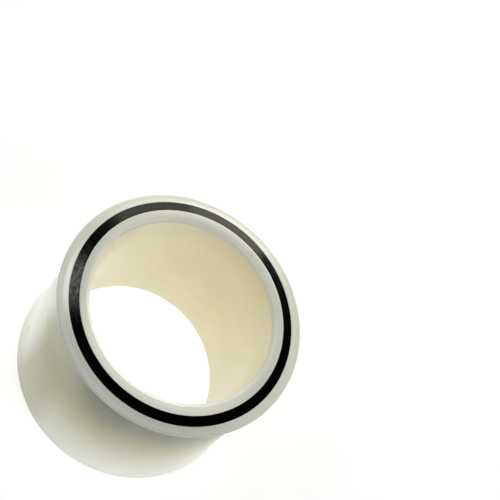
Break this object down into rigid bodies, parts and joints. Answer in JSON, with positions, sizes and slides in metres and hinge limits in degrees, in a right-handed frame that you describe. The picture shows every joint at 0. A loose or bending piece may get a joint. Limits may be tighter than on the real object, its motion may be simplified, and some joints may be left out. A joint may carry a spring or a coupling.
{
  "type": "flesh tunnel",
  "caption": "Hollow double-flared saddle tunnel for a stretched earlobe, pale polished body with a dark ring let flush into its domed front face.",
  "frame": {"origin": "centre of the back face, on the axis of the bore", "axes": "+Z along the axis from the back flare to the inlaid front face; X and Y are any two directions across it"},
  "size_m": [0.017, 0.017, 0.0118],
  "materials": {
    "bone": "polished bone, ivory white, slightly translucent",
    "horn": "polished black horn with faint scratches"
  },
  "bodies": {
    "root": {"tunnel_body": "bone", "inlay_ring": "horn"}
  },
  "joints": []
}
